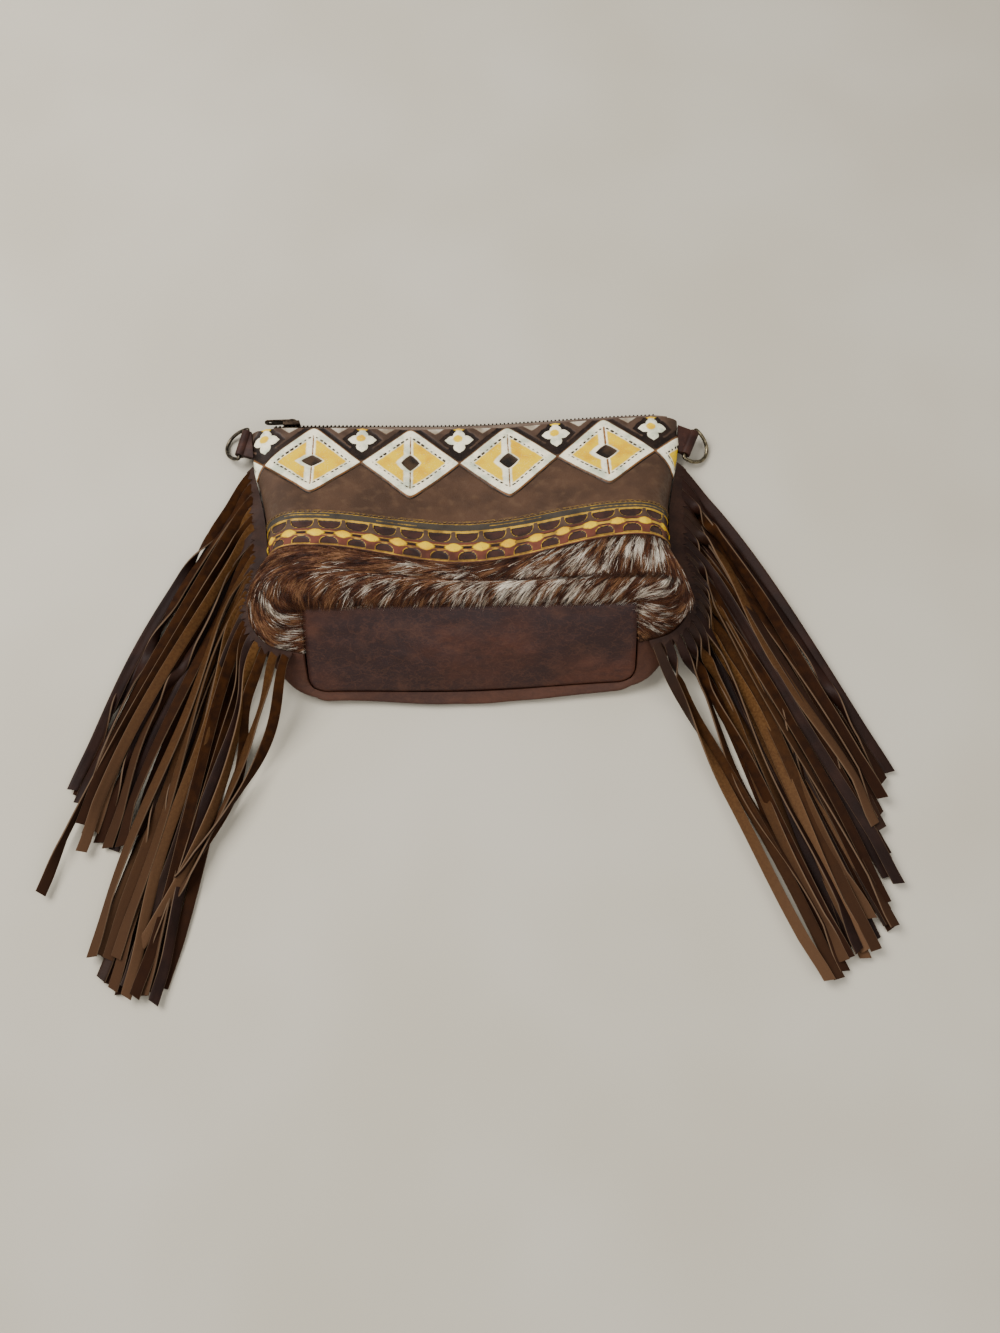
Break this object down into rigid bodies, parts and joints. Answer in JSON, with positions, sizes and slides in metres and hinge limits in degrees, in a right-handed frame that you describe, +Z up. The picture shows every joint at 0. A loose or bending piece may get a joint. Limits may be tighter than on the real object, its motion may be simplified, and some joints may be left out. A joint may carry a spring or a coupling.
{
  "type": "fringe crossbody bag",
  "caption": "Zip-top leather crossbody bag lying on its back, with tooled and painted front, hair-on-hide panel, plain base, long side fringe and empty D-rings.",
  "frame": {"origin": "middle of the footprint, on the floor under the bag", "axes": "+Z up from the floor, +Y from the base towards the zip, +X to the right as seen from the base"},
  "size_m": [0.5172, 0.3788, 0.06],
  "materials": {
    "tooled_leather": "smooth brown leather, tooled and hand-painted in white, yellow, gold and black",
    "hair_on_hide": "short red-brown hair flecked with white, lying flat",
    "base_leather": "mottled dark pull-up leather with a soft sheen",
    "back_leather": "dark smooth leather",
    "fringe_leather": "cut strips, dark smooth grain side and orange-brown suede side",
    "tab_leather": "dark folded leather",
    "zip_tape": "brown woven tape",
    "zip_metal": "dark antique metal",
    "ring_metal": "antique brass wire, worn satin"
  },
  "bodies": {
    "bag": {"front_tooled_panel": "tooled_leather", "front_hide_panel": "hair_on_hide", "base_panel": "base_leather", "back_panel": "back_leather", "fringe_left": "fringe_leather", "fringe_right": "fringe_leather", "zipper_tape": "zip_tape", "zipper_chain": "zip_metal", "zipper_slider": "zip_metal", "ring_tab_left": "tab_leather", "ring_tab_right": "tab_leather"},
    "d_ring_left": {"d_ring_left": "ring_metal"},
    "d_ring_right": {"d_ring_right": "ring_metal"},
    "zipper_pull": {"zipper_pull": "zip_metal"}
  },
  "joints": [
    {"name": "d_ring_left_swing", "type": "hinge", "parent": "bag", "child": "d_ring_left", "pos_m": [-0.14464, 0.17067, 0.0094], "axis": [0.2588, 0.9659, 0], "range_deg": [0, 140]},
    {"name": "d_ring_right_swing", "type": "hinge", "parent": "bag", "child": "d_ring_right", "pos_m": [0.14901, 0.16088, 0.0094], "axis": [-0.4226, -0.9063, 0], "range_deg": [0, 140]},
    {"name": "zipper_pull_swing", "type": "hinge", "parent": "bag", "child": "zipper_pull", "pos_m": [-0.11346, 0.18734, 0.00679], "axis": [0, 0, -1], "range_deg": [0, 170]}
  ]
}
